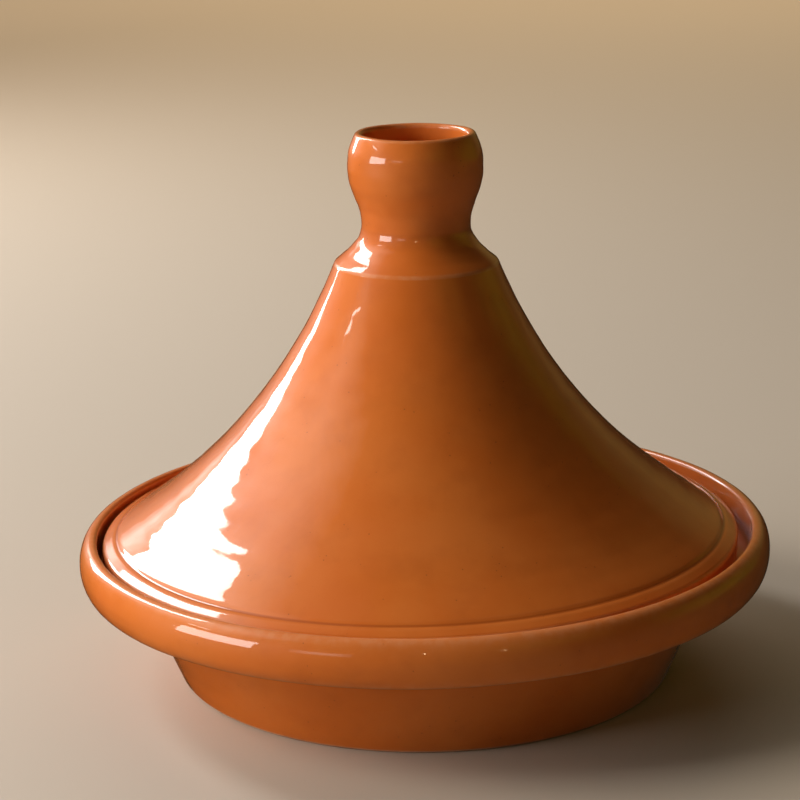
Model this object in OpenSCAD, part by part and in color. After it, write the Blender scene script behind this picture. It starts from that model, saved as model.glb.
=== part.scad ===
// Tagine: a shallow fired clay dish, and the tall flared lid that stands in the gutter of its rim.
// Millimetres, +Z up. The origin is the middle of the foot, on the surface the dish stands on.
// Every piece is thrown on a wheel, so each is one outline turned about the Z axis.

/* [Dish] */
// Outside diameter of the rim at its widest
rim_d = 300; // [250:1:360]
// Height of the rim's top edge above the table
dish_h = 63; // [54:1:80]
// Thickness of the rim's upright wall at the band's widest
rim_wall = 7.8; // [6.5:0.1:10]
// Height of the thick band that the rim makes on the outside
band_h = 20; // [17:0.5:25]
// How far the band bulges past the start of its rounded underside
band_bulge = 5; // [2:0.5:7]
// Depth of the gutter that the lid stands in, below the rim's top edge
gutter_depth = 12; // [9:0.5:15]
// How far the foot is set in from the rim, all round
foot_set_in = 42; // [35:0.5:50]
// How far the outer wall leans out between the foot and the rim's underside
wall_lean = 16; // [10:0.5:20]
// Thickness of the dish's side wall
dish_wall = 8; // [6:0.5:10]
// Thickness of the dish's floor
floor_t = 9; // [7:0.5:12]
// Height of the hollow under the floor, inside the foot ring
foot_hollow = 2.5; // [1:0.5:4]
// Width of the foot ring
foot_ring_w = 14; // [10:1:24]

/* [Lid] */
// Height of the lid's flank, from its seat to the shoulder
flank_h = 126.5; // [105:0.5:155]
// Diameter of the shoulder, where the knob is joined to the flank
shoulder_d = 70.6; // [58:0.2:84]
// How far the flank bows inwards off a straight line
flank_bow = 13; // [9:0.5:16]
// Thickness of the flank
lid_wall = 7; // [5.5:0.5:8.5]
// Height of the upright edge that ends the flank in the gutter
lid_edge_h = 10; // [8:0.5:12]
// Width of the ring under the edge that bears on the gutter's floor
lid_seat_w = 9; // [7.5:0.5:11]
// Gap all round between the lid's edge and the rim's wall
lid_side_gap = 4; // [2.5:0.1:5.5]
// Gap under the seat ring, taken up by the unevenness of the fired clay
lid_seat_gap = 0.3; // [0.2:0.1:1]

/* [Knob] */
// Height of the knob above the shoulder, to the top of its lip
knob_h = 56; // [46:0.5:67]
// Diameter of the knob's waist
waist_d = 46.4; // [38:0.2:56]
// Height of the waist above the shoulder
waist_h = 16.6; // [13:0.1:20]
// Diameter of the knob's bulb at its widest
bulb_d = 57.2; // [47:0.2:69]
// Height of the widest part of the bulb above the shoulder
bulb_h = 41.5; // [36:0.5:47]
// Outside diameter of the lip round the knob's mouth
mouth_d = 51.6; // [43:0.2:62]
// Thickness of the lip
lip_t = 3.6; // [3:0.2:4.6]
// Thickness of the knob's side wall
knob_wall = 4.6; // [3.6:0.1:5.6]
// Thickness of the floor of the cup inside the knob, which closes the top of the lid
cup_floor_t = 10; // [8:0.5:12]

/* [Rounding] */
// Radius at the outside corner of the foot
foot_round = 2.5; // [1:0.5:4]
// Radius between the dish's floor and its wall
bowl_round = 14; // [8:1:17]
// Radius at the inner edge of the rim's top
rim_edge_round = 1.8; // [1:0.1:3]
// Radius between the gutter's floor and the rim's wall
gutter_round = 2; // [1:0.5:3]
// Radius of the soft edge between the gutter and the bowl
ledge_round = 5; // [3:0.5:7]
// Radius of the corner under the rim, between the band and the dish's wall
under_rim_round = 5; // [2:0.5:8]
// Radius at the outside corners of the lid's edge
lid_edge_round = 2.8; // [1:0.1:3]
// Radius at the inside corner of the lid's seat ring
lid_seat_round = 1.5; // [0.5:0.5:2.5]
// Radius of the shoulder's soft corner, at the foot of the knob
shoulder_round = 4; // [1:0.5:6]
// Radius between the cup's floor and its wall
cup_round = 8; // [4:0.5:10]

/* [Hidden] */

GLAZED_CLAY = [0.71, 0.36, 0.15];
AROUND = 240;           // sides of a turned surface
CORNER_STEPS = 8;       // steps along a rounded corner
CURVE_STEPS = 20;       // steps along a long curve
PULL = 0.45;            // reach of an upright curve's handles, as a share of its height
FLARE_PULL = 0.35;      // reach of the knob's flare's handles, as a share of its chord
KNOB_FACE = 50;         // angle that the foot of the knob's flare faces, above the horizontal
LIP_FACE = 25;          // angle that the knob's side faces where the lip begins

// Dish
rim_r = rim_d / 2;
foot_r = rim_r - foot_set_in;
foot_in_r = foot_r - foot_ring_w;
floor_z = foot_hollow + floor_t;
band_z = dish_h - band_h;
band_mid_z = band_z + band_h / 2;
rim_in_r = rim_r - rim_wall;
gutter_z = dish_h - gutter_depth;
wall_slope = wall_lean / band_z;
wall_angle = atan(wall_slope);
ledge_centre = [wall_r(gutter_z) - dish_wall + ledge_round, gutter_z - ledge_round];
bowl_centre = [wall_r(floor_z + bowl_round) - dish_wall - bowl_round, floor_z + bowl_round];

// Lid
lid_z = gutter_z + lid_seat_gap;
lid_edge_r = rim_in_r - lid_side_gap;
lid_seat_r = lid_edge_r - lid_seat_w;
edge_corner = [lid_edge_r - lid_edge_round, lid_z + lid_edge_h - lid_edge_round];
shoulder = [shoulder_d / 2, lid_z + flank_h];
edge_turn = chord_lean(edge_corner, shoulder) + bow_turn(edge_corner, shoulder, flank_bow);
flank_foot = edge_corner + lid_edge_round * facing(edge_turn);
flank_arc = bowed_arc(flank_foot, shoulder, flank_bow);
inner_arc = [flank_arc[0], flank_arc[1] + lid_wall];

// Knob
flank_face = angle_at_height(flank_arc, shoulder[1]) - 180;
shoulder_centre = shoulder - shoulder_round * facing(flank_face);
knob_foot = shoulder_centre + shoulder_round * facing(KNOB_FACE);
knob_top_z = shoulder[1] + knob_h;
waist = [waist_d / 2, shoulder[1] + waist_h];
flare_pull = FLARE_PULL * norm(waist - knob_foot);
bulb = [bulb_d / 2, shoulder[1] + bulb_h];
lip_r = lip_t / 2;
lip_centre = [mouth_d / 2 - lip_r, knob_top_z - lip_r];
lip_foot = lip_centre + lip_r * facing(LIP_FACE);
lip_pull = PULL * (lip_foot[1] - bulb[1]);
cup_z = shoulder[1] + cup_floor_t;
cup_centre = [waist[0] - knob_wall - cup_round, cup_z + cup_round];
in_bulb = bulb - [knob_wall, 0];

// The direction that faces out at an angle above the horizontal.
function facing(angle) = [cos(angle), sin(angle)];

// Radius of the dish's outer wall at height z.
function wall_r(z) = foot_r + wall_slope * z;

// Points on a circle round c, from angle a0 to angle a1.
function arc(c, r, a0, a1, steps = CORNER_STEPS) = oval(c, r, r, a0, a1, steps);

// Points on an ellipse round c with half-axes rx and rz, from angle a0 to angle a1.
function oval(c, rx, rz, a0, a1, steps = CORNER_STEPS) =
    [for (i = [0:steps]) let (a = a0 + (a1 - a0) * i / steps) c + [rx * cos(a), rz * sin(a)]];

// Points on the smooth cubic curve from a to d, with its handles at b and c.
function sweep(a, b, c, d, steps = CURVE_STEPS) =
    [for (i = [0:steps]) let (t = i / steps, u = 1 - t)
        u * u * u * a + 3 * u * u * t * b + 3 * u * t * t * c + t * t * t * d];

// A sweep from a to d that is upright at both ends.
function upright_sweep(a, d, steps = CURVE_STEPS) =
    let (pull = [0, PULL * (d[1] - a[1])])
    sweep(a, a + pull, d - pull, d, steps);

// The circle [centre, radius] through a and b whose arc bows by sag towards the axis.
function bowed_arc(a, b, sag) =
    let (chord = norm(b - a), r = (chord * chord / 4 + sag * sag) / (2 * sag))
    let (along = (b - a) / chord)
    [(a + b) / 2 + (r - sag) * [along[1], -along[0]], r];

// Angle that the outside of the straight line from a up to b faces, above the horizontal.
function chord_lean(a, b) = atan2(a[0] - b[0], b[1] - a[1]);

// Angle that a bowed arc turns through between the middle of its chord and its end.
function bow_turn(a, b, sag) = 2 * atan(2 * sag / norm(b - a));

// Where a circle [centre, radius] passes a given radius or height, on its side nearest the axis.
function angle_at_radius(circle, r) = 180 + acos((circle[0][0] - r) / circle[1]);
function angle_at_height(circle, z) = 180 + asin((circle[0][1] - z) / circle[1]);

// Outline of the dish: the underside, the wall, the band, the gutter and the bowl.
function dish_outline() = concat(
    [[0, foot_hollow], [foot_in_r - foot_hollow, foot_hollow], [foot_in_r, 0]],
    arc([wall_r(foot_round) - foot_round, foot_round], foot_round, -90, -wall_angle),
    arc([wall_r(band_z) + under_rim_round, band_z - under_rim_round], under_rim_round, 180, 90),
    oval([rim_r - band_bulge, band_mid_z], band_bulge, band_h / 2, -90, 0),
    oval([rim_in_r + rim_edge_round, band_mid_z], rim_wall - rim_edge_round, band_h / 2, 10, 80),
    arc([rim_in_r + rim_edge_round, dish_h - rim_edge_round], rim_edge_round, 90, 180),
    arc([rim_in_r - gutter_round, gutter_z + gutter_round], gutter_round, 0, -90),
    arc(ledge_centre, ledge_round, 90, 180 - wall_angle),
    arc(bowl_centre, bowl_round, -wall_angle, -90),
    [[0, floor_z]]);

// Outline of the flank: the seat ring, up the outside to the shoulder and down the inside.
function flank_outline() = concat(
    arc([lid_seat_r + lid_seat_round, lid_z + lid_seat_round], lid_seat_round, 180, 270),
    arc([edge_corner[0], lid_z + lid_edge_round], lid_edge_round, -90, 0),
    arc(edge_corner, lid_edge_round, 0, edge_turn),
    arc(flank_arc[0], flank_arc[1], angle_at_radius(flank_arc, flank_foot[0]),
        angle_at_height(flank_arc, shoulder[1]), CURVE_STEPS),
    arc(inner_arc[0], inner_arc[1], angle_at_height(inner_arc, shoulder[1]),
        angle_at_radius(inner_arc, lid_seat_r), CURVE_STEPS));

// Outline of the knob: the underside, up over the waist and bulb to the lip, and into the cup.
function knob_outline() = concat(
    [[0, shoulder[1]]],
    arc(shoulder_centre, shoulder_round, flank_face, KNOB_FACE),
    sweep(knob_foot, knob_foot + flare_pull * facing(KNOB_FACE + 90), waist - [0, flare_pull], waist),
    upright_sweep(waist, bulb),
    sweep(bulb, bulb + [0, lip_pull], lip_foot - lip_pull * facing(LIP_FACE + 90), lip_foot),
    arc(lip_centre, lip_r, LIP_FACE, 180),
    upright_sweep(lip_centre - [lip_r, 0], in_bulb, CORNER_STEPS),
    upright_sweep(in_bulb, cup_centre + [cup_round, 0]),
    arc(cup_centre, cup_round, 0, -90),
    [[0, cup_z]]);

// A piece turned on the wheel: its outline carried once round the axis.
module thrown(outline) {
    color(GLAZED_CLAY)
        rotate_extrude($fn = AROUND)
            polygon(outline);
}

// The shallow cooking dish, with its foot ring, thick rim and the gutter for the lid.
module base_dish() {
    thrown(dish_outline());
}

// The lid's flared flank, open at the top under the knob.
module lid_cone() {
    thrown(flank_outline());
}

// The hollow knob: a small open cup on a waist, joined to the flank at the shoulder.
module lid_knob() {
    thrown(knob_outline());
}

base_dish();
lid_cone();
lid_knob();
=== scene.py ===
"""Tagine pot: a glazed clay dish and its tall flared lid with a hollow knob.

Every clay piece is a surface turned about the upright axis: an outline in radius and height is
carried round the axis, then pushed along its normals by the marks of throwing and firing.
"""

import logging
import math
from dataclasses import dataclass, field
from enum import Enum

import bpy
import numpy as np
from mathutils import Euler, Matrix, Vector


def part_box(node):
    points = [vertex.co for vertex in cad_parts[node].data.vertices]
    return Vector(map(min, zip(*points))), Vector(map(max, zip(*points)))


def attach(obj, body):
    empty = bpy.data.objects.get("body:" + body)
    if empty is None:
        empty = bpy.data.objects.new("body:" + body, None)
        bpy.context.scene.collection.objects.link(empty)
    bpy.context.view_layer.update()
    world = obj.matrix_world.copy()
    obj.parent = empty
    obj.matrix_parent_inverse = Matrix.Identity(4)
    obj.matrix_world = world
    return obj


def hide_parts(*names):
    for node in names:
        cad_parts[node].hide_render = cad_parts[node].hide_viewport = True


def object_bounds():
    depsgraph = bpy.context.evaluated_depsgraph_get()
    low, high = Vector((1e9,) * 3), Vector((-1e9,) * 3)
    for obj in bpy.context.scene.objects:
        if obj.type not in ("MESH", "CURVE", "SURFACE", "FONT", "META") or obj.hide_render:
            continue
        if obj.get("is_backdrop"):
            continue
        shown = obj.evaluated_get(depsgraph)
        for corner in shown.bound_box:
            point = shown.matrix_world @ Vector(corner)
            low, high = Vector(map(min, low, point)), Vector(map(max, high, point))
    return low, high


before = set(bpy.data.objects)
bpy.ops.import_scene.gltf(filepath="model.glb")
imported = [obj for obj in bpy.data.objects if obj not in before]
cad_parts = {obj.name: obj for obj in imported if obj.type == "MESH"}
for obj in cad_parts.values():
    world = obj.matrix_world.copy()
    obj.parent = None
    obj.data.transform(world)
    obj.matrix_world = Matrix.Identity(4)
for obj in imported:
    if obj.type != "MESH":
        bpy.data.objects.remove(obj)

log = logging.getLogger("tagine")

Array = np.ndarray
Colour = tuple[float, float, float]
Place = tuple[float, float, float]
Socket = bpy.types.NodeSocket

FULL_TURN = 2.0 * math.pi
MM = 0.001

DEGREES_PER_STEP = 3.0      # step of the angle along a rounding
BOW_STEPS = 256             # steps along the flank's bowed face
UPRIGHT_PULL = 0.45         # reach of an upright curve's handles, as a share of its height
CORNER_TURN = math.radians(32.0)    # a turn past this in one step is a sharp corner
TURN_LENGTH = 0.006         # metres of straight outline that count as much as one radian of bend
SAME_POINT = 1e-7           # points nearer than this, in metres, are one
LEVEL_POINTS = 40           # points along a level run across the dish


# ---------------------------------------------------------------------------------------------
# Outlines: curves in the plane of radius and height
# ---------------------------------------------------------------------------------------------


def eased(share: Array) -> Array:
    """The smooth step 3s^2 - 2s^3 of a share between 0 and 1."""
    return share * share * (3.0 - 2.0 * share)


def point(radius: float, height: float) -> Array:
    """A point of an outline, as [radius, height]."""
    return np.array([radius, height], float)


def facing(degrees: float) -> Array:
    """The unit vector that points out at an angle above the horizontal."""
    return point(math.cos(math.radians(degrees)), math.sin(math.radians(degrees)))


def level_line(start: float, end: float, height: float, count: int) -> Array:
    """A level run of points from one radius to another.

    Args:
        start: First radius.
        end: Last radius.
        height: Height of the run.
        count: Number of points.

    Returns:
        The points, both ends included.
    """
    radii = np.linspace(start, end, count)
    return np.stack([radii, np.full(count, height)], axis=1)


def oval(centre: Array, across: float, up: float, start: float, end: float) -> Array:
    """Part of an ellipse: centre plus (across cos t, up sin t), with t from start to end.

    Args:
        centre: Middle of the ellipse.
        across: Half-axis along the radius.
        up: Half-axis along the height.
        start: First angle in degrees.
        end: Last angle in degrees.

    Returns:
        The points, one every few degrees.
    """
    steps = max(4, int(abs(end - start) / DEGREES_PER_STEP))
    t = np.radians(np.linspace(start, end, steps + 1))
    return centre + np.stack([across * np.cos(t), up * np.sin(t)], axis=1)


def arc(centre: Array, radius: float, start: float, end: float) -> Array:
    """Part of a circle, as an oval whose two half-axes are the radius."""
    return oval(centre, radius, radius, start, end)


def cubic(a: Array, b: Array, c: Array, d: Array, steps: int = 48) -> Array:
    """A smooth curve from a to d: u^3 a + 3u^2 t b + 3u t^2 c + t^3 d, with u = 1 - t.

    Args:
        a: First point.
        b: Handle of the first point.
        c: Handle of the last point.
        d: Last point.
        steps: Number of steps along the curve.

    Returns:
        The points, both ends included.
    """
    t = np.linspace(0.0, 1.0, steps + 1)[:, None]
    u = 1.0 - t
    return u**3 * a + 3.0 * u * u * t * b + 3.0 * u * t * t * c + t**3 * d


def upright_cubic(a: Array, d: Array, pull: float = UPRIGHT_PULL) -> Array:
    """A smooth curve that is upright at both ends; pull is the handles' share of its height."""
    handle = point(0.0, pull * (d[1] - a[1]))
    return cubic(a, a + handle, d - handle, d)


@dataclass(frozen=True)
class BowedLine:
    """The circle through two points whose arc bows towards the axis by a given sag."""

    foot: Array
    head: Array
    sag: float

    @property
    def radius(self) -> float:
        """Radius of the circle: (chord^2 / 4 + sag^2) / (2 sag)."""
        chord = float(np.linalg.norm(self.head - self.foot))
        return (chord * chord / 4.0 + self.sag**2) / (2.0 * self.sag)

    @property
    def centre(self) -> Array:
        """Centre of the circle, out from the middle of the chord by radius minus sag."""
        along = (self.head - self.foot) / np.linalg.norm(self.head - self.foot)
        return (self.head + self.foot) / 2.0 + (self.radius - self.sag) * point(along[1], -along[0])

    def angle_at_radius(self, radius: float, inset: float = 0.0) -> float:
        """Angle in degrees where the circle, grown by inset, passes a radius."""
        return 180.0 + math.degrees(math.acos((self.centre[0] - radius) / (self.radius + inset)))

    def angle_at_height(self, height: float, inset: float = 0.0) -> float:
        """Angle in degrees where the circle, grown by inset, passes a height."""
        return 180.0 + math.degrees(math.asin((self.centre[1] - height) / (self.radius + inset)))

    def stretch(self, start: float, end: float, inset: float = 0.0) -> Array:
        """Points of the circle, grown by inset, between two angles in degrees."""
        t = np.radians(np.linspace(start, end, BOW_STEPS + 1))
        return self.centre + (self.radius + inset) * np.stack([np.cos(t), np.sin(t)], axis=1)


@dataclass(frozen=True)
class Outline:
    """An outline resampled for turning, with what each of its points needs to know.

    Attributes:
        points: Radius and height of each point.
        normals: Outward normals in the same plane.
        bend: Signed curvature in 1/m, positive where the clay bulges out.
        corners: Indices of the sharp corners.
        closed: True where the last point joins the first, away from the axis.
    """

    points: Array
    normals: Array
    bend: Array
    corners: Array
    closed: bool

    @classmethod
    def through(cls, parts: list[Array], count: int, closed: bool = False) -> "Outline":
        """Joins the parts and resamples them so that bends get more points than straights.

        The spacing follows a clock that runs with length and, faster, with turning, so equal
        steps of the clock give short steps on a bend. Sharp corners stay as points.

        Args:
            parts: Runs of points, in order, with the clay on the left.
            count: About how many points the result has.
            closed: True where the outline is a loop that stays clear of the axis.

        Returns:
            The resampled outline.
        """
        line = np.concatenate(parts)
        if closed:
            line = np.concatenate([line, line[:1]])
        keep = np.concatenate([[True], np.linalg.norm(np.diff(line, axis=0), axis=1) > SAME_POINT])
        line = line[keep]
        step = np.diff(line, axis=0)
        length = np.linalg.norm(step, axis=1)
        heading = np.arctan2(step[:, 1], step[:, 0])
        turn = (np.diff(heading) + math.pi) % FULL_TURN - math.pi
        is_corner = np.abs(turn) > CORNER_TURN
        sharp = np.flatnonzero(is_corner) + 1
        soft_turn = np.where(is_corner, 0.0, np.abs(turn))
        turn_share = (np.append(soft_turn, 0.0) + np.insert(soft_turn, 0, 0.0)) / 2.0
        clock = length + TURN_LENGTH * turn_share
        time = np.concatenate([[0.0], np.cumsum(clock)])
        ends = np.concatenate([[0], sharp, [len(line) - 1]])
        picks: list[Array] = []
        corners: list[int] = []
        filled = 0
        for first, last in zip(ends[:-1], ends[1:]):
            span = time[last] - time[first]
            n = max(2, round(count * span / time[-1]))
            picks.append(np.linspace(time[first], time[last], n, endpoint=False))
            corners.append(filled)
            filled += n
        chosen = np.concatenate(picks + ([] if closed else [time[-1:]]))
        points = np.stack([np.interp(chosen, time, line[:, k]) for k in (0, 1)], axis=1)
        normals, bend = cls._normals(points, closed)
        return cls(points, normals, bend, np.array(corners if closed else corners[1:], int), closed)

    @staticmethod
    def _normals(points: Array, closed: bool) -> tuple[Array, Array]:
        """Outward normals, the tangent turned to the right, and the bend they make.

        Args:
            points: The outline's points.
            closed: True where the last point joins the first.

        Returns:
            The normals, and the turn at each point over the length it takes.
        """
        if closed:
            ahead, behind = np.roll(points, -1, axis=0), np.roll(points, 1, axis=0)
        else:
            ahead = np.concatenate([points[1:], points[-1:]])
            behind = np.concatenate([points[:1], points[:-1]])
        into, away = points - behind, ahead - points
        tangent = ahead - behind
        tangent /= np.linalg.norm(tangent, axis=1)[:, None]
        normals = np.stack([tangent[:, 1], -tangent[:, 0]], axis=1)
        turned = into[:, 0] * away[:, 1] - into[:, 1] * away[:, 0]
        size = np.linalg.norm(into, axis=1) * np.linalg.norm(away, axis=1)
        angle = np.arcsin(np.clip(turned / np.maximum(size, 1e-12), -1.0, 1.0))
        bend = angle / np.maximum(np.linalg.norm(ahead - behind, axis=1) / 2.0, 1e-6)
        return normals, bend


# ---------------------------------------------------------------------------------------------
# The hand of the potter: rings, lumps and the sag of the kiln
# ---------------------------------------------------------------------------------------------


@dataclass(frozen=True)
class ThrowingMarks:
    """Ridges that the fingers leave as the clay turns, and the soft lumps between them.

    Attributes:
        ring_height: Height of the ridges.
        ring_pitch: Rise of the finger in one turn of the wheel.
        lump_height: Height of the lumps.
        lump_size: Size of the smallest lumps.
        waves: How many waves are added up to make the lumps.
        seed: Seed of the lumps' random numbers.
        ring_even: Share of the ridges' height that is the same everywhere.
        ring_swell: Share of the ridges' height that comes and goes.
        swell_turns: Length of the swell, as 1 / 2 pi of so many turns of the wheel.
        drift_turns: Length of the ridges' drift, counted the same way.
        drift_along: How far the drift moves a ridge, in radians of a turn.
        drift_round: How far a ridge wavers round the pot, in radians of a turn.
        longest_wave: Waves in three lump sizes along the outline, at the least.
        shortest_wave: Waves in three lump sizes along the outline, at the most.
        lobe_fall: How much lower a wave is for each lobe round the axis.
        lump_gain: Gain that brings the sum of waves to the lumps' height.
        pole_reach: Radius inside which the marks fade towards the axis.
    """

    ring_height: float = 0.022 * MM
    ring_pitch: float = 9.0 * MM
    lump_height: float = 0.085 * MM
    lump_size: float = 13.0 * MM
    waves: int = 60
    seed: int = 7
    ring_even: float = 0.65
    ring_swell: float = 0.35
    swell_turns: float = 4.3
    drift_turns: float = 2.7
    drift_along: float = 0.5
    drift_round: float = 0.35
    longest_wave: float = 0.4
    shortest_wave: float = 3.2
    lobe_fall: float = 0.12
    lump_gain: float = 1.6
    pole_reach: float = 12.0 * MM

    def depth(self, way: Array, radius: Array, angle: Array) -> Array:
        """How far the surface stands out at each grid point.

        The ridges are a helix: the sine of (way / pitch + turns), with a slow change of height.
        The lumps are a sum of cosines of whole waves round the axis and random waves along the
        outline, each lower the shorter it is.

        Args:
            way: Distance along the outline, as a column.
            radius: Radius of each outline point, as a column.
            angle: Angle round the axis, as a row.

        Returns:
            A grid of heights, one row for each outline point.
        """
        rng = np.random.default_rng(self.seed)
        swell = self.ring_even + self.ring_swell * np.sin(way / (self.swell_turns * self.ring_pitch) + 1.0)
        drift = self.drift_along * np.sin(way / (self.drift_turns * self.ring_pitch))
        drift = drift + self.drift_round * np.sin(2.0 * angle + 0.7)
        rings = swell * np.sin(FULL_TURN * way / self.ring_pitch + angle + drift)
        lumps = np.zeros(np.broadcast(way, angle).shape)
        most_round = int(FULL_TURN * float(radius.max()) / self.lump_size / 2.0)
        for _ in range(self.waves):
            lobes = int(rng.integers(1, max(3, most_round)))
            along = rng.uniform(self.longest_wave, self.shortest_wave) / (self.lump_size * 3.0)
            gain = 1.0 / (1.0 + self.lobe_fall * lobes)
            phase = rng.uniform(0.0, FULL_TURN, 2)
            lumps += gain * np.cos(lobes * angle + phase[0]) * np.cos(FULL_TURN * along * way + phase[1])
        lumps *= self.lump_height / math.sqrt(self.waves) * self.lump_gain
        near_axis = np.clip(radius / self.pole_reach, 0.0, 1.0)
        return (self.ring_height * rings + lumps) * near_axis**2


@dataclass(frozen=True)
class KilnSag:
    """The slight warp of the fired pot, one smooth field that dish and lid share.

    Attributes:
        tilt: Slope of the rim from left to right, strongest at the rim's height.
        rim_height: Height at which the tilt is strongest.
        fade_height: Height above which the tilt has gone.
        oval_share: How much the pot is out of round, as a share of the radius.
    """

    tilt: float = 0.0145
    rim_height: float = 0.060
    fade_height: float = 0.150
    oval_share: float = 0.0016

    def applied(self, place: Array) -> Array:
        """Moves points up by tilt times x, and stretches the pot slightly along x.

        The tilt is eased in up to the rim's height and eased out again up to the fade height,
        each time by the smooth step 3s^2 - 2s^3.

        Args:
            place: Points, with x, y and z along the last axis.

        Returns:
            The moved points.
        """
        x, y, z = place[..., 0], place[..., 1], place[..., 2]
        rise = np.clip(z / self.rim_height, 0.0, 1.0)
        fall = np.clip((self.fade_height - z) / (self.fade_height - self.rim_height), 0.0, 1.0)
        share = eased(rise) * eased(fall)
        round_x = 1.0 + self.oval_share * rise
        return np.stack([x * round_x, y / round_x, z + self.tilt * x * share], axis=-1)


# ---------------------------------------------------------------------------------------------
# Turned meshes
# ---------------------------------------------------------------------------------------------


@dataclass(frozen=True)
class TurnedMesh:
    """Carries an outline round the axis and makes a closed mesh of it.

    Attributes:
        outline: The outline to turn.
        marks: Marks of throwing on its surface.
        sag: Warp of the fired pot.
        shift: Where the piece stands off the axis.
        quiet: Heights, each with a reach, at which the marks fade to nothing.
        around: Number of points round the axis.
        glaze_gain: How fast the glaze's thinness follows the bend, in metres.
        glaze_smooth: Weights that even the glaze out between neighbouring points.
    """

    outline: Outline
    marks: ThrowingMarks
    sag: KilnSag
    shift: Place = (0.0, 0.0, 0.0)
    quiet: tuple[tuple[float, float], ...] = ()
    around: int = 288
    glaze_gain: float = 2.2 * MM
    glaze_smooth: tuple[float, ...] = (1.0, 2.0, 3.0, 2.0, 1.0)

    def calm(self, height: Array) -> Array:
        """Share of the marks that stays: it fades to nothing at each quiet height.

        Args:
            height: Heights, as a column.

        Returns:
            A share between 0 and 1 for each height.
        """
        share = np.ones_like(height)
        for level, reach in self.quiet:
            near = np.clip(np.abs(height - level) / reach, 0.0, 1.0)
            share *= eased(near)
        return share

    def places(self) -> Array:
        """Grid of points: (r cos a, r sin a, z) plus the marks' depth along the normal.

        Returns:
            One row for each point of the outline and one column for each angle.
        """
        points, normals = self.outline.points, self.outline.normals
        angle = np.linspace(0.0, FULL_TURN, self.around, endpoint=False)[None, :]
        gaps = np.linalg.norm(np.diff(points, axis=0), axis=1)
        way = np.concatenate([[0.0], np.cumsum(gaps)])[:, None]
        radius = points[:, :1]
        depth = self.marks.depth(way, radius, angle) * self.calm(points[:, 1:])
        out = radius + normals[:, :1] * depth
        height = points[:, 1:] + normals[:, 1:] * depth
        grid = np.stack([out * np.cos(angle), out * np.sin(angle), height + 0.0 * angle], axis=-1)
        return self.sag.applied(grid) + np.array(self.shift)

    def build(self, name: str) -> bpy.types.Object:
        """Makes the mesh object, with one vertex at each pole and sharp rings at the corners.

        Args:
            name: Name of the object.

        Returns:
            The new object, at the origin, with its place in its mesh.
        """
        grid = self.places()
        rows, cols = grid.shape[:2]
        loop = self.outline.closed
        body = grid if loop else grid[1:-1]
        vertices = body.reshape(-1, 3)
        index = np.arange(body.shape[0] * cols).reshape(body.shape[0], cols)
        low = index if loop else index[:-1]
        high = np.roll(index, -1, axis=0) if loop else index[1:]
        right = np.roll(low, -1, axis=1), np.roll(high, -1, axis=1)
        quads = np.stack([low, right[0], right[1], high], axis=-1).reshape(-1, 4)
        triangles = np.zeros((0, 3), int)
        if not loop:
            first, last = len(vertices), len(vertices) + 1
            vertices = np.concatenate([vertices, grid[:1].mean(axis=1), grid[-1:].mean(axis=1)])
            start, end = index[0], index[-1]
            fan = np.stack([np.full(cols, first), np.roll(start, -1), start], axis=-1)
            cap = np.stack([np.full(cols, last), end, np.roll(end, -1)], axis=-1)
            triangles = np.concatenate([fan, cap])
        mesh = bpy.data.meshes.new(name)
        mesh.from_pydata(vertices, [], quads.tolist() + triangles.tolist())
        mesh.polygons.foreach_set("use_smooth", np.ones(len(mesh.polygons), bool))
        self._mark_corners(mesh, index, 0 if loop else 1)
        self._write_glaze(mesh, index, 0 if loop else 1)
        mesh.validate()
        mesh.update()
        piece = bpy.data.objects.new(name, mesh)
        bpy.context.scene.collection.objects.link(piece)
        return piece

    def _mark_corners(self, mesh: bpy.types.Mesh, index: Array, skipped: int) -> None:
        """Marks the edges that run round the axis along a sharp corner.

        Args:
            mesh: The turned mesh.
            index: Vertex number at each row and column of the grid.
            skipped: How many of the outline's first points are not in the grid.
        """
        ring = np.full(len(mesh.vertices), -1)
        for corner in self.outline.corners:
            ring[index[corner - skipped]] = corner
        ends = np.zeros(2 * len(mesh.edges), np.int32)
        mesh.edges.foreach_get("vertices", ends)
        ends = ends.reshape(-1, 2)
        sharp = (ring[ends[:, 0]] >= 0) & (ring[ends[:, 0]] == ring[ends[:, 1]])
        layer = mesh.attributes.new("sharp_edge", "BOOLEAN", "EDGE")
        layer.data.foreach_set("value", sharp)

    def _write_glaze(self, mesh: bpy.types.Mesh, index: Array, skipped: int) -> None:
        """Stores how thin the glaze lies: 1 on sharp bulges, 0 where it pools in hollows.

        The value is a half plus the outline's bend times the glaze's gain, held to 0..1 and
        evened out along the outline.

        Args:
            mesh: The turned mesh.
            index: Vertex number at each row and column of the grid.
            skipped: How many of the outline's end points are not in the grid.
        """
        thin = np.full(len(mesh.vertices), 0.5)
        bend = np.clip(self.outline.bend * self.glaze_gain, -0.5, 0.5)
        kernel = np.array(self.glaze_smooth) / sum(self.glaze_smooth)
        smooth = np.convolve(np.pad(bend, len(kernel) // 2, mode="edge"), kernel, mode="valid")
        rows = smooth if self.outline.closed else smooth[skipped:-skipped]
        thin[index.ravel()] = 0.5 + np.repeat(rows, index.shape[1])
        layer = mesh.attributes.new("glaze_thin", "FLOAT", "POINT")
        layer.data.foreach_set("value", thin)


# ---------------------------------------------------------------------------------------------
# Finishes
# ---------------------------------------------------------------------------------------------


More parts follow.
